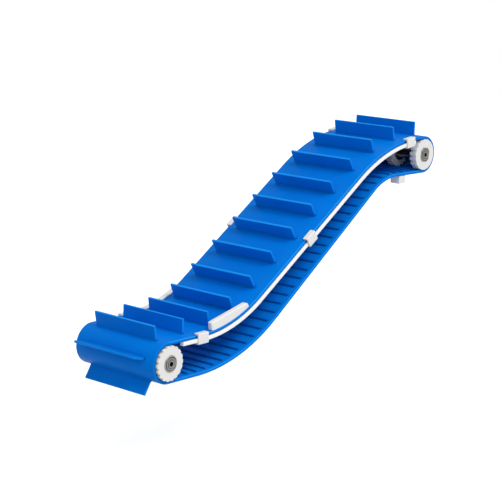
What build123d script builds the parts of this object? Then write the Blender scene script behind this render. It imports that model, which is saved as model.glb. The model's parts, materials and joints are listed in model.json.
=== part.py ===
from build123d import *
import math
import os

os.makedirs("parts", exist_ok=True)

# A Z-shaped incline conveyor run: a toothed plastic belt with welded cleats, driven by
# plastic sprockets on two hollow square shafts. Frame: +X runs from the tail to the head,
# +Z is up, and the origin is on the tail shaft's axis at mid-width.

# Belt and its drive bars
bar_pitch = 50.0
bars_in_loop = 81
bars_per_turn = 9
belt_width = 420.0
belt_thickness = 12.5
belt_inside_to_pitch = 2.3
bar_width = 8.0
bar_tip_width = 6.0
bar_height = 7.0
bar_to_edge = 17.0

# Path of the top run, on the pitch line of the belt
lower_flat = 181.0
upper_flat = 26.0
climb_angle = 34.0
lower_bend_radius = 604.0
upper_bend_radius = 786.0

# Path of the return run, on the pitch line of the belt
return_flat = 161.0
return_angle = 36.0
return_lower_radius = 778.0
return_upper_radius = 268.0

# Cleats
cleat_length = 320.0
cleat_height = 61.0
cleat_thickness = 10.0
cleat_tip_radius = 3.0
cleat_foot = 4.0
bead_lip = 0.6
bars_per_cleat = 3
cleats_at_tail = (-186.0, -94.0, -14.0)
first_even_cleat_at = 128.3
even_cleats = 12

# Sprockets
rim_clearance = 0.3
sprocket_thickness = 34.0
tail_sprocket_past_belt = 11.0
head_sprocket_past_belt = 4.0
inner_sprocket_middle = 62.0
pockets_per_bar = 2
pocket_mouth_clearance = 1.9
pocket_floor_clearance = 1.0
pocket_side_clearance = 2.0
scallop_width = 13.0
tail_scallop_depth = 4.5
head_scallop_depth = 2.0
rim_chamfer = 1.5

# Shafts and what holds the sprockets on them
shaft_square = 50.0
shaft_chamfer = 9.0
shaft_past_collar = 1.5
shaft_end_chamfer = 0.8
shaft_bore_radius = 10.0
shaft_boss_radius = 16.0
shaft_boss_height = 0.8
square_clearance = 0.15
tail_collar_radius = 33.0
head_collar_square = 61.0
head_collar_chamfer = 13.0
collar_length = 2.5
collar_chamfer = 1.0
ring_radius = 39.0
ring_thickness = 4.0

# Wear strips, clips and shoes
strip_width = 18.0
strip_height = 15.0
strip_overhang = 5.0
strip_to_rim = 6.0
clip_length = 56.0
clip_wall = 7.0
clip_top_reach = 12.0
clip_belt_clearance = 0.4
clip_round = 2.0
clip_stations = (181.0, 908.0, 1674.0)
shoe_from = 244.0
shoe_to = 472.0
shoe_width = 24.0
shoe_inset = 1.5
shoe_clearance = 0.3
shoe_tail_height = 31.0
shoe_head_height = 18.0
far_shoe_height = 9.0
shoe_nose_round = 12.0
shoe_corner_round = 6.0
shoe_edge_round = 2.0
return_shoe_from = 132.0
return_shoe_length = 48.0
return_shoe_width = 48.0
return_shoe_height = 34.0
return_shoe_round = 3.0

# Sizes that follow from the ones above
pitch_radius = bar_pitch * bars_per_turn / (2 * math.pi)
inside_radius = pitch_radius - belt_inside_to_pitch
outside_radius = inside_radius + belt_thickness
rim_radius = inside_radius - rim_clearance
loop_length = bar_pitch * bars_in_loop
half_width = belt_width / 2
bar_length = belt_width - 2 * bar_to_edge
tail_face = half_width + tail_sprocket_past_belt
head_face = half_width + head_sprocket_past_belt
past_face = collar_length + shaft_past_collar


def run_geometry(climb):
    """Pitch-line runs as (length, curvature) pairs for a given straight climb."""
    top_angle = math.radians(climb_angle)
    low_angle = math.radians(return_angle)
    rise = (lower_bend_radius + upper_bend_radius) * (1 - math.cos(top_angle))
    rise += climb * math.sin(top_angle)
    reach = lower_flat + upper_flat + climb * math.cos(top_angle)
    reach += (lower_bend_radius + upper_bend_radius) * math.sin(top_angle)
    both = return_lower_radius + return_upper_radius
    low_climb = (rise - both * (1 - math.cos(low_angle))) / math.sin(low_angle)
    low_reach = both * math.sin(low_angle) + low_climb * math.cos(low_angle)
    top = [
        (lower_flat, 0.0),
        (lower_bend_radius * top_angle, 1 / lower_bend_radius),
        (climb, 0.0),
        (upper_bend_radius * top_angle, -1 / upper_bend_radius),
        (upper_flat, 0.0),
    ]
    low = [
        (return_flat, 0.0),
        (return_lower_radius * low_angle, 1 / return_lower_radius),
        (low_climb, 0.0),
        (return_upper_radius * low_angle, -1 / return_upper_radius),
        (reach - return_flat - low_reach, 0.0),
    ]
    return top, low, reach, rise


def total_length(climb):
    """Length of the whole pitch line."""
    top, low, reach, rise = run_geometry(climb)
    runs = sum(length for length, bend in top) + sum(length for length, bend in low)
    return runs + 2 * math.pi * pitch_radius


# The straight climb is set so that the loop holds a whole number of bars
climb_length = 700.0
for step in range(30):
    climb_length += (loop_length - total_length(climb_length)) / 2
TOP, LOW, head_x, head_z = run_geometry(climb_length)
top_length = sum(length for length, bend in TOP)
low_length = sum(length for length, bend in LOW)
wrap_length = math.pi * pitch_radius
print("climb", climb_length, "head", head_x, head_z, "top", top_length, "low", low_length)


def along(runs, s, start):
    """Point and heading at the distance s along runs that begin at the point start."""
    x, z, a = start[0], start[1], 0.0
    for number, (length, bend) in enumerate(runs):
        last = number == len(runs) - 1
        q = s if s < length or last else length
        if bend == 0:
            x += q * math.cos(a)
            z += q * math.sin(a)
        else:
            x += (math.sin(a + bend * q) - math.sin(a)) / bend
            z -= (math.cos(a + bend * q) - math.cos(a)) / bend
            a += bend * q
        s -= q
        if s <= 1e-9:
            break
    return x, z, a


def loop_point(s):
    """Point on the pitch line and the direction out of the loop there, as (x, z, nx, nz).

    s is 0 where the belt leaves the tail sprockets at the top, and grows towards the head.
    """
    s = s % loop_length
    if s <= top_length:
        x, z, a = along(TOP, s, (0.0, pitch_radius))
        return x, z, -math.sin(a), math.cos(a)
    s -= top_length
    if s <= wrap_length:
        t = s / pitch_radius
        nx, nz = math.sin(t), math.cos(t)
        return head_x + pitch_radius * nx, head_z + pitch_radius * nz, nx, nz
    s -= wrap_length
    if s <= low_length:
        x, z, a = along(LOW, low_length - s, (0.0, -pitch_radius))
        return x, z, math.sin(a), -math.cos(a)
    t = (s - low_length) / pitch_radius
    nx, nz = -math.sin(t), -math.cos(t)
    return pitch_radius * nx, pitch_radius * nz, nx, nz


def offset_point(s, out):
    """Point at the distance out from the pitch line, on the outer side of the loop."""
    x, z, nx, nz = loop_point(s)
    return x + out * nx, z + out * nz


def arc_through(s0, s1, out):
    """Edge of the line at the distance out between two distances on one run."""
    first = offset_point(s0, out)
    middle = offset_point((s0 + s1) / 2, out)
    last = offset_point(s1, out)
    flat = abs(
        (middle[0] - first[0]) * (last[1] - first[1])
        - (middle[1] - first[1]) * (last[0] - first[0])
    )
    points = [(p[0], 0, p[1]) for p in (first, middle, last)]
    if flat < 1e-6:
        return Edge.make_line(points[0], points[2])
    return Edge.make_three_point_arc(*points)


def breaks(s0, s1):
    """Distances from s0 to s1 where the curvature of the loop changes."""
    marks = [0.0]
    for length, bend in TOP:
        marks.append(marks[-1] + length)
    marks.append(marks[-1] + wrap_length)
    for length, bend in reversed(LOW):
        marks.append(marks[-1] + length)
    marks.append(marks[-1] + wrap_length)
    inside = [m for m in marks if s0 + 1e-6 < m < s1 - 1e-6]
    return [s0] + inside + [s1]


def line_along(s0, s1, out, y=0.0):
    """Edges of the line at the distance out from s0 to s1, moved across the belt by y."""
    marks = breaks(s0, s1)
    place = Location((0, y, 0))
    return [arc_through(a, b, out).moved(place) for a, b in zip(marks, marks[1:])]


def ribbon(s0, s1, low, high, y0, y1):
    """Solid between two lines beside the loop, from y0 to y1 across it."""
    top = line_along(s0, s1, high)
    bottom = line_along(s0, s1, low)
    ends = []
    for s in (s0, s1):
        p, q = offset_point(s, low), offset_point(s, high)
        ends.append(Edge.make_line((p[0], 0, p[1]), (q[0], 0, q[1])))
    face = Face(Wire(top + bottom + ends))
    face = face.moved(Location((0, y0, 0)))
    return Solid.extrude(face, Vector(0, y1 - y0, 0))


def save(node, shape):
    """Write one node as a named STEP file."""
    shape.label = node
    export_step(shape, "parts/" + node + ".step")
    return shape


inner = -belt_inside_to_pitch
outer = inner + belt_thickness

# Belt: a closed band with smooth faces
face = Face(Wire(line_along(0.0, loop_length, outer)), [Wire(line_along(0.0, loop_length, inner))])
face = face.moved(Location((0, -half_width, 0)))
belt = Solid.extrude(face, Vector(0, belt_width, 0))
save("belt", belt)

# Drive bars across the inside of the belt
def section_placer(s, y):
    """Function that gives the point (along, out) of the cross-section at s, in space."""
    x, z, nx, nz = loop_point(s)
    return lambda u, v: (x + u * nz + v * nx, y, z - u * nx + v * nz)


bars = []
for number in range(bars_in_loop):
    s = number * bar_pitch
    place = section_placer(s, -bar_length / 2)
    roots = [offset_point(s + side * bar_width / 2, inner) for side in (-1, 1)]
    roots = [(x, -bar_length / 2, z) for x, z in roots]
    tips = [place(side * bar_tip_width / 2, inner - bar_height) for side in (-1, 1)]
    edges = line_along(s - bar_width / 2, s + bar_width / 2, inner, -bar_length / 2)
    edges += [
        Edge.make_line(roots[0], tips[0]),
        Edge.make_line(tips[0], tips[1]),
        Edge.make_line(tips[1], roots[1]),
    ]
    bars.append(Solid.extrude(Face(Wire(edges)), Vector(0, bar_length, 0)))
save("drive_bars", Compound(children=bars))


# Cleats, each with its weld bead, standing on the outside of the belt
def cleat_at(s):
    """Cleat whose foot follows the belt at the distance s."""
    place = section_placer(s, -cleat_length / 2)
    half = cleat_thickness / 2
    foot = half + cleat_foot
    tip = outer + cleat_height
    short = 1 - math.sqrt(0.5)
    edges = []
    shoulders = []
    for side in (1, -1):
        start = offset_point(s + side * foot, outer)
        start = (start[0], -cleat_length / 2, start[1])
        lip = place(side * foot, outer + bead_lip)
        bend = place(
            side * (half + cleat_foot * short), outer + bead_lip + cleat_foot * short
        )
        root = place(side * half, outer + bead_lip + cleat_foot)
        wall_end = place(side * half, tip - cleat_tip_radius)
        round_over = place(
            side * (half - cleat_tip_radius * short), tip - cleat_tip_radius * short
        )
        shoulder = place(side * (half - cleat_tip_radius), tip)
        if side > 0:
            edges.append(Edge.make_line(start, lip))
            edges.append(Edge.make_three_point_arc(lip, bend, root))
            edges.append(Edge.make_line(root, wall_end))
            edges.append(Edge.make_three_point_arc(wall_end, round_over, shoulder))
        else:
            edges.append(Edge.make_line(shoulders[0], shoulder))
            edges.append(Edge.make_three_point_arc(shoulder, round_over, wall_end))
            edges.append(Edge.make_line(wall_end, root))
            edges.append(Edge.make_three_point_arc(root, bend, lip))
            edges.append(Edge.make_line(lip, start))
        shoulders.append(shoulder)
    edges += line_along(s - foot, s + foot, outer, -cleat_length / 2)
    return Solid.extrude(Face(Wire(edges)), Vector(0, cleat_length, 0))


cleat_pitch = bar_pitch * bars_per_cleat
cleat_positions = list(cleats_at_tail)
cleat_positions += [first_even_cleat_at + cleat_pitch * n for n in range(even_cleats)]
for number, s in enumerate(cleat_positions):
    save("cleat_%02d" % (number + 1), cleat_at(s))

# Wear strips under both edges of the carrying run
strip_from = rim_radius + strip_to_rim
strip_to = top_length - rim_radius - strip_to_rim
strip_outside = half_width + strip_overhang
strip_low = inner - strip_height
for side, name in ((-1, "near"), (1, "far")):
    y0, y1 = sorted((side * strip_outside, side * (strip_outside - strip_width)))
    save("wear_strip_" + name, ribbon(strip_from, strip_to, strip_low, inner, y0, y1))

# Edge clips that hook over the belt's edge and under the wear strip
clip_outside = strip_outside + clip_wall
clip_under = outer + clip_belt_clearance
for side, name in ((-1, "near"), (1, "far")):
    for number, s in enumerate(clip_stations):
        s0, s1 = s - clip_length / 2, s + clip_length / 2
        low, high = strip_low - clip_wall, clip_under + clip_wall
        y0, y1 = sorted((side * strip_outside, side * clip_outside))
        clip = ribbon(s0, s1, low, high, y0, y1)
        y0, y1 = sorted((side * clip_outside, side * (half_width - clip_top_reach)))
        clip = clip.fuse(ribbon(s0, s1, clip_under, high, y0, y1))
        y0, y1 = sorted((side * clip_outside, side * (strip_outside - strip_width)))
        clip = clip.fuse(ribbon(s0, s1, low, strip_low, y0, y1))
        clip = clip.solid()
        lengthwise = [e for e in clip.edges() if abs(e.center().Y) > clip_outside - 0.1]
        clip = clip.fillet(clip_round, lengthwise)
        save("edge_clip_%s_%d" % (name, number + 1), clip.solid())

# Hold-down shoes on the belt's margins where the run bends upward
shoe_under = outer + shoe_clearance


def hold_down_shoe(y):
    """Block with a straight back, its underside bent like the belt, from y towards +Y."""
    edges = line_along(shoe_from, shoe_to, shoe_under)
    back = []
    for s, height in ((shoe_from, shoe_tail_height), (shoe_to, shoe_head_height)):
        foot, head = offset_point(s, shoe_under), offset_point(s, shoe_under + height)
        back.append((head[0], 0, head[1]))
        edges.append(Edge.make_line((foot[0], 0, foot[1]), back[-1]))
    edges.append(Edge.make_line(*back))
    face = Face(Wire(edges)).moved(Location((0, y, 0)))
    block = Solid.extrude(face, Vector(0, shoe_width, 0))
    nose = min(
        (e for e in block.edges() if abs(e.length - shoe_width) < 1e-6),
        key=lambda e: (e.center() - Vector(back[1][0], y + shoe_width / 2, back[1][2])).length,
    )
    block = block.fillet(shoe_nose_round, [nose]).solid()
    tail_foot = offset_point(shoe_from, shoe_under)
    corners = []
    for e in block.edges():
        near_tail = abs(e.length - shoe_tail_height) < 1e-6
        middle = e.center()
        if near_tail and math.dist((middle.X, middle.Z), tail_foot) < shoe_tail_height:
            corners.append(e)
    block = block.fillet(shoe_corner_round, corners).solid()
    top = max(block.faces(), key=lambda f: f.normal_at().Z * (f.area > shoe_width * 100))
    return block.chamfer(shoe_edge_round, None, top.outer_wire().edges()).solid()


save("hold_down_shoe_near", hold_down_shoe(-half_width + shoe_inset))

# The far hold-down shoe, a low strip bent like the belt
far_top = shoe_under + far_shoe_height
far_y = half_width - shoe_inset
far_shoe = ribbon(shoe_from, shoe_to, shoe_under, far_top, far_y - shoe_width, far_y)
upright = [e for e in far_shoe.edges() if abs(e.length - far_shoe_height) < 1e-6]
save("hold_down_shoe_far", far_shoe.fillet(shoe_corner_round, upright).solid())

# Return shoes that carry the returning belt where it levels out
shoe_end = top_length + wrap_length + return_shoe_from
for side, name in ((-1, "near"), (1, "far")):
    y0, y1 = sorted((side * half_width, side * (half_width - return_shoe_width)))
    low, high = shoe_under, shoe_under + return_shoe_height
    shoe = ribbon(shoe_end, shoe_end + return_shoe_length, low, high, y0, y1)
    upright = [e for e in shoe.edges() if abs(e.length - return_shoe_height) < 1e-6]
    shoe = shoe.fillet(return_shoe_round, upright)
    save("return_shoe_" + name, shoe.solid())


# Shafts, sprockets, collars and retainer rings
def square_face(size, chamfer):
    """Square with cut corners, standing across the Y axis."""
    a, b = size / 2, size / 2 - chamfer
    points = [(a, b), (b, a), (-b, a), (-a, b), (-a, -b), (-b, -a), (b, -a), (a, -b)]
    return Face(Wire.make_polygon([(u, 0, v) for u, v in points], close=True))


def bar_along_y(face, y0, y1):
    """Solid from a face that stands across the Y axis, between two distances along it."""
    return Solid.extrude(face.moved(Location((0, y0, 0))), Vector(0, y1 - y0, 0))


def round_along_y(radius, y0, y1):
    """Round bar on the Y axis between two distances along it."""
    plane = Plane(origin=(0, y0, 0), x_dir=(1, 0, 0), z_dir=(0, 1, 0))
    return Solid.make_cylinder(radius, y1 - y0, plane)


def end_edges(shape, places):
    """Edges of a solid that lie in a plane across the Y axis at one of the places."""
    found = []
    for e in shape.edges():
        box = e.bounding_box()
        if box.size.Y < 1e-6 and any(abs(box.center().Y - y) < 1e-6 for y in places):
            found.append(e)
    return found


hole_square = shaft_square + 2 * square_clearance
pocket_count = bars_per_turn * pockets_per_bar


def notches(outline, y0, y1):
    """Cutters spaced round the rim, from an outline of (across, out) points."""
    cutters = []
    for number in range(pocket_count):
        a = 2 * math.pi * number / pocket_count
        turned = [
            (u * math.cos(a) + v * math.sin(a), y0, v * math.cos(a) - u * math.sin(a))
            for u, v in outline
        ]
        face = Face(Wire.make_polygon(turned, close=True))
        cutters.append(Solid.extrude(face, Vector(0, y1 - y0, 0)))
    return cutters


def sprocket(y0, scallop_depth):
    """Sprocket from y0 towards +Y: pockets where the bars reach, scallops outside them."""
    y1 = y0 + sprocket_thickness
    body = round_along_y(rim_radius, y0, y1)
    body = body.chamfer(rim_chamfer, None, end_edges(body, (y0, y1)))
    top, low = inside_radius, inside_radius - bar_height - pocket_floor_clearance
    wide = bar_width / 2 + pocket_mouth_clearance
    slim = bar_tip_width / 2 + pocket_floor_clearance
    reach = bar_length / 2 + pocket_side_clearance
    pocket = [(-wide, top), (wide, top), (slim, low), (-slim, low)]
    cutters = notches(pocket, max(y0 - 1, -reach), min(y1 + 1, reach))
    half, floor = scallop_width / 2, rim_radius - scallop_depth
    shoulder = rim_radius - scallop_depth * 0.7
    scallop = [(-half, top), (half, top), (half * 0.75, shoulder), (half * 0.3, floor)]
    scallop += [(-half * 0.3, floor), (-half * 0.75, shoulder)]
    if y0 < -reach:
        cutters += notches(scallop, y0 - 1, -reach)
    if y1 > reach:
        cutters += notches(scallop, reach, y1 + 1)
    cutters.append(bar_along_y(square_face(hole_square, shaft_chamfer), y0 - 1, y1 + 1))
    return body.cut(*cutters).solid()


def holed(blank, y0, y1):
    """Blank between y0 and y1 with the hole for the square shaft."""
    hole = bar_along_y(square_face(hole_square, shaft_chamfer), y0 - 1, y1 + 1)
    return blank.cut(hole).solid()


def collar(kind, y0, out_side):
    """Collar from y0 towards +Y, its outer end chamfered: round at the tail, square at the head."""
    y1 = y0 + collar_length
    if kind == "tail":
        blank = round_along_y(tail_collar_radius, y0, y1)
    else:
        blank = bar_along_y(square_face(head_collar_square, head_collar_chamfer), y0, y1)
    outer_end = y1 if out_side > 0 else y0
    blank = blank.chamfer(collar_chamfer, None, end_edges(blank, (outer_end,)))
    return holed(blank, y0, y1)


def turned_about_y(shape, angle, x, z):
    """Shape turned by an angle in degrees about the Y axis and carried to x, z."""
    return shape.rotate(Axis.Y, angle).moved(Location((x, 0, z)))


bars_past_top = math.ceil(top_length / bar_pitch)
head_phase = math.degrees((bars_past_top * bar_pitch - top_length) / pitch_radius)
inner_low = inner_sprocket_middle - sprocket_thickness / 2
inner_high = inner_sprocket_middle + sprocket_thickness / 2
for name, x, z, phase, outer_face, depth in (
    ("tail", 0.0, 0.0, 0.0, tail_face, tail_scallop_depth),
    ("head", head_x, head_z, head_phase, head_face, head_scallop_depth),
):
    shaft_end = outer_face + past_face
    boss_reach = shaft_end + shaft_boss_height
    outer_inside = outer_face - sprocket_thickness
    collar_end = outer_face + collar_length
    shaft = bar_along_y(square_face(shaft_square, shaft_chamfer), -shaft_end, shaft_end)
    ends = end_edges(shaft, (-shaft_end, shaft_end))
    shaft = shaft.chamfer(shaft_end_chamfer, None, ends).solid()
    shaft = shaft.fuse(round_along_y(shaft_boss_radius, -boss_reach, boss_reach)).solid()
    shaft = shaft.cut(round_along_y(shaft_bore_radius, -boss_reach - 1, boss_reach + 1)).solid()
    save(name + "_shaft", turned_about_y(shaft, phase, x, z))
    places = [
        ("outer_near", -outer_face),
        ("inner_near", -inner_high),
        ("inner_far", inner_low),
        ("outer_far", outer_inside),
    ]
    for place_name, y0 in places:
        save(name + "_sprocket_" + place_name, turned_about_y(sprocket(y0, depth), phase, x, z))
    for side_name, y0, side in (("near", -collar_end, -1), ("far", outer_face, 1)):
        made = collar(name, y0, side)
        save(name + "_collar_" + side_name, turned_about_y(made, phase, x, z))
    rings = []
    for y0 in (outer_inside - ring_thickness, inner_high, inner_low - ring_thickness):
        for start in (y0, -y0 - ring_thickness):
            blank = round_along_y(ring_radius, start, start + ring_thickness)
            rings.append(holed(blank, start, start + ring_thickness))
    rings = [turned_about_y(ring, phase, x, z) for ring in rings]
    save(name + "_retainer_rings", Compound(children=rings))
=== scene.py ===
import json
import math

import bmesh
import bpy
from mathutils import Matrix, Vector


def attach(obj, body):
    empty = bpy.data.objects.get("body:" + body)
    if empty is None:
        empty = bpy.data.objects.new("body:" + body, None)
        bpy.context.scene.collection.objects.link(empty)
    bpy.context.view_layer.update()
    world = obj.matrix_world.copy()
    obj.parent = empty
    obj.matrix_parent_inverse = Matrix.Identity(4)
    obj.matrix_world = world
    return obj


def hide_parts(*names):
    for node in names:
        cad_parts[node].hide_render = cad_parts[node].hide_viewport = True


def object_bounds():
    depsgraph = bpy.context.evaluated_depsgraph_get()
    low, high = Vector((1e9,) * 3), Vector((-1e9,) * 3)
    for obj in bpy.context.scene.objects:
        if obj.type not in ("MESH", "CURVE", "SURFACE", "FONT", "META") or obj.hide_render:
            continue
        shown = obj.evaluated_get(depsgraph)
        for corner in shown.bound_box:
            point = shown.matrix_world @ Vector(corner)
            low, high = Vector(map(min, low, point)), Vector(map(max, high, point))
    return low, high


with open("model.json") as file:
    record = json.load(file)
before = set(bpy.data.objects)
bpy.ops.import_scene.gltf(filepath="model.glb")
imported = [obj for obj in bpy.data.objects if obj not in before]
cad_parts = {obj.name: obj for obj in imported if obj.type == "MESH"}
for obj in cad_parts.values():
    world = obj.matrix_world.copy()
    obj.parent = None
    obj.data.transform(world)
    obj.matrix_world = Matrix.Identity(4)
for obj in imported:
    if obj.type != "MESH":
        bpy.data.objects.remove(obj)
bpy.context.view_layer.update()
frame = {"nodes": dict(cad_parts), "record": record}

# Camera of the photograph: a pinhole fitted to the cleats, sprockets and belt edges
CAMERA_AZIMUTH = 49.5624
CAMERA_ELEVATION = 11.2432
CAMERA_ROLL = 2.136
CAMERA_DISTANCE = 6.3866
CAMERA_TARGET = (0.6931, 0.0, 0.3133)
FOCAL_PIXELS = 1545.0
FRAME_PIXELS = 500.0
SENSOR_MM = 36.0

# The belt's path, in metres, as the CAD has it
PITCH_RADIUS = 0.45 / (2 * math.pi)
LOOP = 4.05
INSIDE = -0.0023
OUTSIDE = 0.0102
HALF_WIDTH = 0.21
LOWER_FLAT, UPPER_FLAT = 0.181, 0.026
LOWER_RADIUS, UPPER_RADIUS = 0.604, 0.786
CLIMB = 0.7605081802
RETURN_FLAT = 0.161
RETURN_LOWER_RADIUS, RETURN_UPPER_RADIUS = 0.778, 0.268
TOP_ANGLE = math.radians(34.0)
LOW_ANGLE = math.radians(36.0)
STRIP_FROM, STRIP_TO = 0.075, 1.71735
STRIP_OUT, STRIP_IN = 0.215, 0.197
STRIP_HEIGHT = 0.015

BOTH_RADII = LOWER_RADIUS + UPPER_RADIUS
REACH = LOWER_FLAT + UPPER_FLAT + CLIMB * math.cos(TOP_ANGLE) + BOTH_RADII * math.sin(TOP_ANGLE)
RISE = BOTH_RADII * (1 - math.cos(TOP_ANGLE)) + CLIMB * math.sin(TOP_ANGLE)
LOW_RADII = RETURN_LOWER_RADIUS + RETURN_UPPER_RADIUS
LOW_CLIMB = (RISE - LOW_RADII * (1 - math.cos(LOW_ANGLE))) / math.sin(LOW_ANGLE)
LOW_REACH = LOW_RADII * math.sin(LOW_ANGLE) + LOW_CLIMB * math.cos(LOW_ANGLE)
TOP = [
    (LOWER_FLAT, 0.0),
    (LOWER_RADIUS * TOP_ANGLE, 1 / LOWER_RADIUS),
    (CLIMB, 0.0),
    (UPPER_RADIUS * TOP_ANGLE, -1 / UPPER_RADIUS),
    (UPPER_FLAT, 0.0),
]
LOW = [
    (RETURN_FLAT, 0.0),
    (RETURN_LOWER_RADIUS * LOW_ANGLE, 1 / RETURN_LOWER_RADIUS),
    (LOW_CLIMB, 0.0),
    (RETURN_UPPER_RADIUS * LOW_ANGLE, -1 / RETURN_UPPER_RADIUS),
    (REACH - RETURN_FLAT - LOW_REACH, 0.0),
]
TOP_LENGTH = sum(length for length, bend in TOP)
LOW_LENGTH = sum(length for length, bend in LOW)
WRAP = math.pi * PITCH_RADIUS
UPPER_BEND_FROM = TOP_LENGTH - UPPER_FLAT - UPPER_RADIUS * TOP_ANGLE

# Cleats by their places on the loop, and how finely the swept pieces are cut
CLEAT_HEIGHT = 0.061
TIP_BAND = 0.0022
CLEAT_PLACES = [-0.186, -0.094, -0.014] + [0.1283 + 0.15 * n for n in range(12)]
BELT_STEPS = 810
STRIP_STEPS = 320

# Radii of the softened edges
BELT_EDGE = 0.0026
STRIP_EDGE = 0.001
BAR_EDGE = 0.0012
CLEAT_EDGE = 0.0018
SHOE_EDGE = 0.0025
CLIP_EDGE = SPROCKET_EDGE = 0.0008
STEEL_EDGE = 0.0005


def along(runs, s, z):
    """Point and heading at the distance s along runs that start at height z."""
    x, a = 0.0, 0.0
    for number, (length, bend) in enumerate(runs):
        q = s if s < length or number == len(runs) - 1 else length
        if bend == 0:
            x += q * math.cos(a)
            z += q * math.sin(a)
        else:
            x += (math.sin(a + bend * q) - math.sin(a)) / bend
            z -= (math.cos(a + bend * q) - math.cos(a)) / bend
            a += bend * q
        s -= q
        if s <= 1e-12:
            break
    return x, z, a


def loop_point(s):
    """Point on the pitch line at s and the direction out of the loop there."""
    s %= LOOP
    if s <= TOP_LENGTH:
        x, z, a = along(TOP, s, PITCH_RADIUS)
        return x, z, -math.sin(a), math.cos(a)
    s -= TOP_LENGTH
    if s <= WRAP:
        t = s / PITCH_RADIUS
        nx, nz = math.sin(t), math.cos(t)
        return REACH + PITCH_RADIUS * nx, RISE + PITCH_RADIUS * nz, nx, nz
    s -= WRAP
    if s <= LOW_LENGTH:
        x, z, a = along(LOW, LOW_LENGTH - s, -PITCH_RADIUS)
        return x, z, math.sin(a), -math.cos(a)
    t = (s - LOW_LENGTH) / PITCH_RADIUS
    nx, nz = -math.sin(t), -math.cos(t)
    return PITCH_RADIUS * nx, PITCH_RADIUS * nz, nx, nz


def rounded_section(y0, y1, v0, v1, radius, steps=3):
    """Corner points of a rounded rectangle across the belt, as (y, out) pairs."""
    points = []
    corners = [(y1 - radius, v1 - radius, 0), (y0 + radius, v1 - radius, 90)]
    corners += [(y0 + radius, v0 + radius, 180), (y1 - radius, v0 + radius, 270)]
    for cy, cv, start in corners:
        for k in range(steps + 1):
            a = math.radians(start + 90 * k / steps)
            points.append((cy + radius * math.cos(a), cv + radius * math.sin(a)))
    return points


def sweep(name, section, s0, s1, count, closed=False):
    """Piece whose cross-section is carried along the loop from s0 to s1."""
    mesh = bpy.data.meshes.new(name)
    bm = bmesh.new()
    rows = []
    for k in range(count if closed else count + 1):
        x, z, nx, nz = loop_point(s0 + (s1 - s0) * k / count)
        rows.append([bm.verts.new((x + v * nx, y, z + v * nz)) for y, v in section])
    n = len(section)
    pairs = list(zip(rows, rows[1:]))
    if closed:
        pairs.append((rows[-1], rows[0]))
    for a, b in pairs:
        for k in range(n):
            bm.faces.new((a[k], a[(k + 1) % n], b[(k + 1) % n], b[k]))
    if not closed:
        bm.faces.new(rows[0][::-1])
        bm.faces.new(rows[-1])
    bmesh.ops.recalc_face_normals(bm, faces=bm.faces)
    for f in bm.faces:
        f.smooth = True
    bm.to_mesh(mesh)
    bm.free()
    mesh.set_sharp_from_angle(angle=math.radians(50))
    piece = bpy.data.objects.new(name, mesh)
    bpy.context.scene.collection.objects.link(piece)
    return piece


def mark_lit(mesh, share_of):
    """Note on each face how much painted highlight, a lighter tone, it wears."""
    layer = mesh.attributes.new("edge_light", "FLOAT", "FACE")
    layer.data.foreach_set("value", [share_of(face) for face in mesh.polygons])


def light_cleat(mesh, s):
    """Painted highlight, a lighter tone, on a cleat's tip, less round the tail, and on its two
    ends.
    """
    x, z, nx, nz = loop_point(s)
    tip = 0.72 if nz > 0.9 or s > 0 else 0.3

    def share_of(face):
        c = face.center
        height = (c.x - x) * nx + (c.z - z) * nz - OUTSIDE
        if height > CLEAT_HEIGHT - TIP_BAND:
            return tip
        return 0.32 if abs(face.normal.y) > 0.9 else 0.0

    mark_lit(mesh, share_of)


def light_belt(mesh, sides):
    """Painted highlight, a lighter tone, on the belt's upper edges, strongest on the carrying run,
    on the returning run's edges, and faint on the inner face.
    """
    outer_corners, inner_corners, inner_face = (0, 1, 2, 4, 5, 6), (8, 9, 10, 12, 13, 14), 11

    def share_of(face):
        s = face.index // sides * LOOP / BELT_STEPS
        side = face.index % sides
        returning = TOP_LENGTH + WRAP < s < TOP_LENGTH + WRAP + LOW_LENGTH
        if side in outer_corners:
            return max(0.15, min(0.85, 0.85 - 2.0 * (s - UPPER_BEND_FROM)))
        if side in inner_corners:
            return 0.6 if returning else 0.0
        return 0.12 if side == inner_face else 0.0

    mark_lit(mesh, share_of)


def dressed(node, width, segments=2):
    """Copy of a CAD node with its sharp edges rounded, which stands for the node."""
    source = frame["nodes"][node]
    mesh = source.data.copy()
    bm = bmesh.new()
    bm.from_mesh(mesh)
    bmesh.ops.remove_doubles(bm, verts=bm.verts, dist=2e-6)
    bmesh.ops.dissolve_limit(
        bm, angle_limit=math.radians(0.6), verts=bm.verts, edges=bm.edges
    )
    for f in bm.faces:
        f.smooth = True
    bm.to_mesh(mesh)
    bm.free()
    mesh.set_sharp_from_angle(angle=math.radians(32))
    piece = bpy.data.objects.new("dressed_" + node, mesh)
    bpy.context.scene.collection.objects.link(piece)
    piece.matrix_world = source.matrix_world
    bevel = piece.modifiers.new("soft_edges", "BEVEL")
    bevel.width = width
    bevel.segments = segments
    bevel.limit_method = "ANGLE"
    bevel.angle_limit = math.radians(32)
    bevel.harden_normals = True
    return piece


BODY_OF = {}
for body, names in frame["record"]["behaviour"]["bodies"].items():
    for name in names:
        BODY_OF[name] = body


def stand_for(piece, node, material):
    """Let a piece replace a CAD node, ride where it rode and wear a material."""
    piece.data.materials.clear()
    piece.data.materials.append(material)
    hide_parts(node)
    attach(piece, BODY_OF[node])
    return piece


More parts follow.
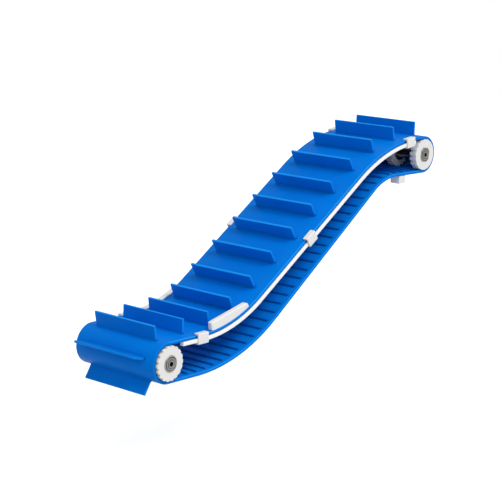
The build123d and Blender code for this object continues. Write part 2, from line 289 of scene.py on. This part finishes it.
class Nodes:
    """Small helper to write a material's nodes in a few lines."""

    def __init__(self, name):
        self.material = bpy.data.materials.new(name)
        self.material.use_nodes = True
        self.tree = self.material.node_tree
        self.shader = self.tree.nodes["Principled BSDF"]
        self.where = self.add("ShaderNodeTexCoord").outputs["Object"]

    def add(self, kind, **settings):
        node = self.tree.nodes.new(kind)
        for key, value in settings.items():
            setattr(node, key, value)
        return node

    def link(self, start, end):
        self.tree.links.new(start, end)

    def stretched(self, scale):
        mapping = self.add("ShaderNodeMapping")
        mapping.inputs["Scale"].default_value = scale
        self.link(self.where, mapping.inputs["Vector"])
        return mapping.outputs["Vector"]

    def noise(self, vector, scale, detail=3.0, roughness=0.5):
        noise = self.add("ShaderNodeTexNoise")
        noise.inputs["Scale"].default_value = scale
        noise.inputs["Detail"].default_value = detail
        noise.inputs["Roughness"].default_value = roughness
        self.link(vector, noise.inputs["Vector"])
        return noise.outputs["Fac"]

    def ramp(self, value, stops):
        ramp = self.add("ShaderNodeValToRGB")
        elements = ramp.color_ramp.elements
        while len(elements) < len(stops):
            elements.new(0.5)
        for element, (place, colour) in zip(elements, stops):
            element.position = place
            element.color = (*colour, 1.0)
        self.link(value, ramp.inputs["Fac"])
        return ramp.outputs["Color"]

    def spread(self, value, low, high, from_low=0.3, from_high=0.7):
        spread = self.add("ShaderNodeMapRange")
        spread.inputs["From Min"].default_value = from_low
        spread.inputs["From Max"].default_value = from_high
        spread.inputs["To Min"].default_value = low
        spread.inputs["To Max"].default_value = high
        self.link(value, spread.inputs["Value"])
        return spread.outputs["Result"]

    def mix(self, amount, first, second, mode="MIX"):
        mix = self.add("ShaderNodeMix", data_type="RGBA", blend_type=mode)
        for value, socket in ((amount, 0), (first, 6), (second, 7)):
            if isinstance(value, (int, float)):
                mix.inputs[socket].default_value = value
            elif isinstance(value, tuple):
                mix.inputs[socket].default_value = (*value, 1.0)
            else:
                self.link(value, mix.inputs[socket])
        return mix.outputs[2]

    def lit_faces(self):
        """Mask of the painted highlight that mark_lit() put on the faces."""
        faces = self.add("ShaderNodeAttribute", attribute_type="GEOMETRY")
        faces.attribute_name = "edge_light"
        return faces.outputs["Fac"]

    def edges(self, radius):
        """Mask of the edges within the radius, from how far a rounded normal turns away, for
        painted highlights.
        """
        rounded = self.add("ShaderNodeBevel", samples=6)
        rounded.inputs["Radius"].default_value = radius
        plain = self.add("ShaderNodeNewGeometry")
        match = self.add("ShaderNodeVectorMath", operation="DOT_PRODUCT")
        self.link(rounded.outputs["Normal"], match.inputs[0])
        self.link(plain.outputs["Normal"], match.inputs[1])
        return self.spread(match.outputs["Value"], 1.0, 0.0, 0.8, 0.99)

    def corners(self, reach, share):
        """Painted shade: a factor that falls to the share in corners closer than the reach."""
        shade = self.add("ShaderNodeAmbientOcclusion", samples=8)
        shade.inputs["Distance"].default_value = reach
        return self.spread(shade.outputs["AO"], share, 1.0, 0.25, 0.95)

    def bump(self, layers):
        """Chain of bumps, each (height, strength, distance)."""
        last = None
        for height, strength, distance in layers:
            bump = self.add("ShaderNodeBump")
            bump.inputs["Strength"].default_value = strength
            bump.inputs["Distance"].default_value = distance
            self.link(height, bump.inputs["Height"])
            if last:
                self.link(last, bump.inputs["Normal"])
            last = bump.outputs["Normal"]
        self.link(last, self.shader.inputs["Normal"])


def tinted(colour, share):
    """Colour made lighter or darker by a share."""
    return tuple(min(1.0, c * (1 + share)) for c in colour)


def belt_plastic(name, colour, gloss, edge):
    """Smooth polyurethane: faint mottling, run marks along the belt, a painted highlight on the
    faces marked for it, and painted shade in corners.
    """
    m = Nodes(name)
    cloud = m.noise(m.where, 9.0, 4.0)
    runs = m.noise(m.stretched((1.5, 60.0, 1.5)), 1.0, 5.0, 0.6)
    grain = m.noise(m.where, 900.0, 2.0)
    base = m.ramp(cloud, [(0.25, tinted(colour, -0.05)), (0.75, tinted(colour, 0.05))])
    streak = m.spread(runs, 0.0, 0.10, 0.45, 0.75)
    body = m.mix(streak, base, tinted(colour, 0.3))
    # Painted highlight: the lighter edge colour on the faces that mark_lit() picked.
    with_painted_highlight = m.mix(m.lit_faces(), body, edge)
    # Painted shade: darker blue in corners within 12 mm.
    with_painted_shade = m.mix(m.corners(0.012, 0.0), tinted(colour, -0.75), with_painted_highlight)
    m.link(with_painted_shade, m.shader.inputs["Base Color"])
    rough = m.spread(runs, gloss - 0.05, gloss + 0.07)
    m.link(rough, m.shader.inputs["Roughness"])
    m.shader.inputs["Specular IOR Level"].default_value = 0.06
    m.shader.inputs["Specular Tint"].default_value = (0.05, 0.5, 1.0, 1.0)
    m.bump([(grain, 0.12, 0.0004), (cloud, 0.06, 0.002)])
    return m.material


def white_plastic(name, colour, shade_reach, edge=0.0, rings=False):
    """Machined white plastic: cutter marks, a fine grain, warm patches, a painted highlight on the
    edges when edge is given, and painted shade in its corners.
    """
    m = Nodes(name)
    cloud = m.noise(m.where, 22.0, 4.0)
    grain = m.noise(m.where, 1100.0, 2.0)
    warm = tuple(c * f for c, f in zip(colour, (0.985, 0.97, 0.945)))
    body = m.ramp(cloud, [(0.3, warm), (0.7, colour)])
    # Painted highlight: lighter white on the edges within the radius edge.
    if edge:
        body = m.mix(m.edges(edge), body, tinted(colour, 0.25))
    # Painted shade: grey in corners within the given reach.
    grey = tinted(colour, -0.5)
    m.link(m.mix(m.corners(shade_reach, 0.2), grey, body), m.shader.inputs["Base Color"])
    m.link(m.spread(cloud, 0.36, 0.48), m.shader.inputs["Roughness"])
    m.shader.inputs["Specular IOR Level"].default_value = 0.35
    marks = m.noise(m.stretched((700.0, 25.0, 700.0) if rings else (60.0, 500.0, 60.0)), 1.0, 2.0)
    m.bump([(marks, 0.06, 0.0003), (grain, 0.08, 0.0003)])
    return m.material


def turned_steel(name, colour, centre):
    """Turned stainless steel: fine rings about a shaft's axis, a soft cloud, and rings on the
    shaft's end painted as shade and one painted highlight.
    """
    m = Nodes(name)
    shift = m.add("ShaderNodeMapping")
    shift.inputs["Location"].default_value = (-centre[0], 0.0, -centre[1])
    shift.inputs["Scale"].default_value = (1.0, 0.0, 1.0)
    m.link(m.where, shift.inputs["Vector"])
    waves = m.add("ShaderNodeTexWave", wave_type="RINGS", rings_direction="SPHERICAL")
    waves.inputs["Scale"].default_value = 260.0
    waves.inputs["Distortion"].default_value = 1.5
    waves.inputs["Detail"].default_value = 2.0
    m.link(shift.outputs["Vector"], waves.inputs["Vector"])
    cloud = m.noise(m.where, 45.0, 4.0)
    dark = tinted(colour, -0.14)
    tone = m.ramp(cloud, [(0.3, dark), (0.7, colour)])
    radius = m.add("ShaderNodeVectorMath", operation="LENGTH")
    m.link(shift.outputs["Vector"], radius.inputs[0])
    out = m.spread(radius.outputs["Value"], 0.0, 1.0, 0.0, 0.04)
    # Rings painted round the shaft's end: the dark ones are painted shade of its steps, the one
    # above white a painted highlight.
    plain, shade_ring = (1.0, 1.0, 1.0), (0.12, 0.12, 0.12)
    bands = [(0.36, plain), (0.40, shade_ring), (0.44, shade_ring), (0.48, plain)]
    bands += [(0.58, plain), (0.62, shade_ring), (0.67, shade_ring), (0.72, (1.3, 1.3, 1.3)), (0.80, plain)]
    turned = m.mix(1.0, tone, m.ramp(out, bands), "MULTIPLY")
    m.link(turned, m.shader.inputs["Base Color"])
    m.link(m.spread(waves.outputs["Fac"], 0.3, 0.42, 0.0, 1.0), m.shader.inputs["Roughness"])
    m.shader.inputs["Metallic"].default_value = 1.0
    m.bump([(waves.outputs["Fac"], 0.12, 0.0003)])
    return m.material


BLUE = (0.0, 0.176, 0.69)
# Colour of the painted highlights on the belt and the cleats.
HIGHLIGHT_BLUE = (0.01, 0.34, 1.0)
WHITE = (0.80, 0.80, 0.80)
belt_blue = belt_plastic("belt_blue", BLUE, 0.42, HIGHLIGHT_BLUE)
cleat_blue = belt_plastic("cleat_blue", tinted(BLUE, -0.02), 0.36, HIGHLIGHT_BLUE)
guide_white = white_plastic("guide_white", WHITE, 0.010, edge=0.007)
strip_white = white_plastic("strip_white", tinted(WHITE, 0.2), 0.003)
sprocket_white = white_plastic("sprocket_white", WHITE, 0.012, rings=True)
STEEL = (0.3, 0.29, 0.28)
tail_steel = turned_steel("tail_steel", STEEL, (0.0, 0.0))
head_steel = turned_steel("head_steel", STEEL, (REACH, RISE))

# Belt and wear strips, swept along the path with softened edges
section = rounded_section(-HALF_WIDTH, HALF_WIDTH, INSIDE, OUTSIDE, BELT_EDGE)
belt = sweep("belt_band", section, 0.0, LOOP, BELT_STEPS, closed=True)
light_belt(belt.data, len(section))
stand_for(belt, "belt", belt_blue)
for side, name in ((-1, "near"), (1, "far")):
    y0, y1 = sorted((side * STRIP_OUT, side * STRIP_IN))
    section = rounded_section(y0, y1, INSIDE - STRIP_HEIGHT, INSIDE, STRIP_EDGE)
    strip = sweep("strip_" + name, section, STRIP_FROM, STRIP_TO, STRIP_STEPS)
    stand_for(strip, "wear_strip_" + name, strip_white)

# Everything else keeps the CAD shape, with its sharp edges softened
for node in frame["nodes"]:
    if node == "belt" or node.startswith("wear_strip"):
        continue
    if node == "drive_bars":
        stand_for(dressed(node, BAR_EDGE), node, belt_blue)
    elif node.startswith("cleat_"):
        cleat = dressed(node, CLEAT_EDGE, 3)
        light_cleat(cleat.data, CLEAT_PLACES[int(node[-2:]) - 1])
        stand_for(cleat, node, cleat_blue)
    elif node.startswith("edge_clip"):
        stand_for(dressed(node, CLIP_EDGE), node, guide_white)
    elif "shoe" in node:
        stand_for(dressed(node, SHOE_EDGE, 3), node, guide_white)
    elif "sprocket" in node:
        stand_for(dressed(node, SPROCKET_EDGE), node, sprocket_white)
    else:
        steel = tail_steel if node.startswith("tail") else head_steel
        stand_for(dressed(node, STEEL_EDGE), node, steel)

# Floor, well under the run because the photo shows it held in the air
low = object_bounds()[0][2] - 0.30
mesh = bpy.data.meshes.new("floor")
bm = bmesh.new()
bmesh.ops.create_grid(bm, x_segments=2, y_segments=2, size=14.0)
bmesh.ops.translate(bm, verts=bm.verts, vec=(0.0, 0.0, low))
bm.to_mesh(mesh)
bm.free()
floor = bpy.data.objects.new("floor", mesh)
bpy.context.scene.collection.objects.link(floor)
m = Nodes("floor_white")
tone = m.ramp(m.noise(m.where, 0.6), [(0.3, (0.58, 0.58, 0.58)), (0.7, (0.62, 0.62, 0.62))])
m.link(tone, m.shader.inputs["Base Color"])
m.shader.inputs["Roughness"].default_value = 0.9
m.shader.inputs["Specular IOR Level"].default_value = 0.0
glow = m.add("ShaderNodeEmission")
glow.inputs["Color"].default_value = (1.0, 1.0, 1.0, 1.0)
glow.inputs["Strength"].default_value = 0.69
paths = m.add("ShaderNodeLightPath")
either = m.add("ShaderNodeMath", operation="MAXIMUM")
m.link(paths.outputs["Is Camera Ray"], either.inputs[0])
m.link(paths.outputs["Is Glossy Ray"], either.inputs[1])
lit = m.add("ShaderNodeAddShader")
m.link(m.shader.outputs[0], lit.inputs[0])
m.link(glow.outputs[0], lit.inputs[1])
choose = m.add("ShaderNodeMixShader")
m.link(either.outputs[0], choose.inputs[0])
m.link(m.shader.outputs[0], choose.inputs[1])
m.link(lit.outputs[0], choose.inputs[2])
m.link(choose.outputs[0], m.tree.nodes["Material Output"].inputs["Surface"])
floor.data.materials.append(m.material)

# World: plain soft white light, and a white that the camera and the metal see
world = bpy.data.worlds.new("studio")
bpy.context.scene.world = world
world.use_nodes = True
tree = world.node_tree
tree.nodes.clear()
output = tree.nodes.new("ShaderNodeOutputWorld")
ambient = tree.nodes.new("ShaderNodeBackground")
ambient.inputs["Color"].default_value = (1.0, 1.0, 1.0, 1.0)
towards = tree.nodes.new("ShaderNodeTexCoord")
soft_box = tree.nodes.new("ShaderNodeVectorMath")
soft_box.operation = "DOT_PRODUCT"
soft_box.inputs[1].default_value = Vector((-0.15, -0.78, 0.6)).normalized()
brighter = tree.nodes.new("ShaderNodeMapRange")
brighter.inputs["From Min"].default_value = -0.6
brighter.inputs["From Max"].default_value = 1.0
brighter.inputs["To Min"].default_value = 0.24
brighter.inputs["To Max"].default_value = 1.08
tree.links.new(towards.outputs["Generated"], soft_box.inputs[0])
tree.links.new(soft_box.outputs["Value"], brighter.inputs["Value"])
tree.links.new(brighter.outputs["Result"], ambient.inputs["Strength"])
seen = tree.nodes.new("ShaderNodeBackground")
seen.inputs["Color"].default_value = (1.0, 1.0, 1.0, 1.0)
seen.inputs["Strength"].default_value = 1.0
rays = tree.nodes.new("ShaderNodeLightPath")
first = tree.nodes.new("ShaderNodeMath")
first.operation = "MAXIMUM"
blend = tree.nodes.new("ShaderNodeMixShader")
tree.links.new(rays.outputs["Is Camera Ray"], first.inputs[0])
tree.links.new(rays.outputs["Is Transmission Ray"], first.inputs[1])
tree.links.new(first.outputs[0], blend.inputs[0])
tree.links.new(ambient.outputs[0], blend.inputs[1])
tree.links.new(seen.outputs[0], blend.inputs[2])
tree.links.new(blend.outputs[0], output.inputs["Surface"])


def lamp(name, towards, strength, spread):
    """Soft distant light that comes from the direction towards."""
    data = bpy.data.lights.new(name, "SUN")
    data.energy = strength
    data.angle = math.radians(spread)
    light = bpy.data.objects.new(name, data)
    light.rotation_mode = "QUATERNION"
    light.rotation_quaternion = Vector(towards).to_track_quat("Z", "Y")
    bpy.context.scene.collection.objects.link(light)


lamp("key", (-0.08, -0.58, 0.81), 1.05, 20.0)

# Camera
az, el, roll = (math.radians(a) for a in (CAMERA_AZIMUTH, CAMERA_ELEVATION, CAMERA_ROLL))
forward = Vector((math.sin(az) * math.cos(el), math.cos(az) * math.cos(el), -math.sin(el)))
right = forward.cross(Vector((0, 0, 1))).normalized()
up = right.cross(forward)
across = right * math.cos(roll) + up * math.sin(roll)
upward = up * math.cos(roll) - right * math.sin(roll)
data = bpy.data.cameras.new("camera")
data.sensor_width = SENSOR_MM
data.lens = FOCAL_PIXELS / FRAME_PIXELS * SENSOR_MM
data.clip_end = 60.0
camera = bpy.data.objects.new("camera", data)
turn = Matrix((across, upward, -forward)).transposed().to_4x4()
camera.matrix_world = Matrix.Translation(Vector(CAMERA_TARGET) - forward * CAMERA_DISTANCE) @ turn
bpy.context.scene.collection.objects.link(camera)
bpy.context.scene.camera = camera
bpy.context.scene.view_settings.view_transform = "Standard"
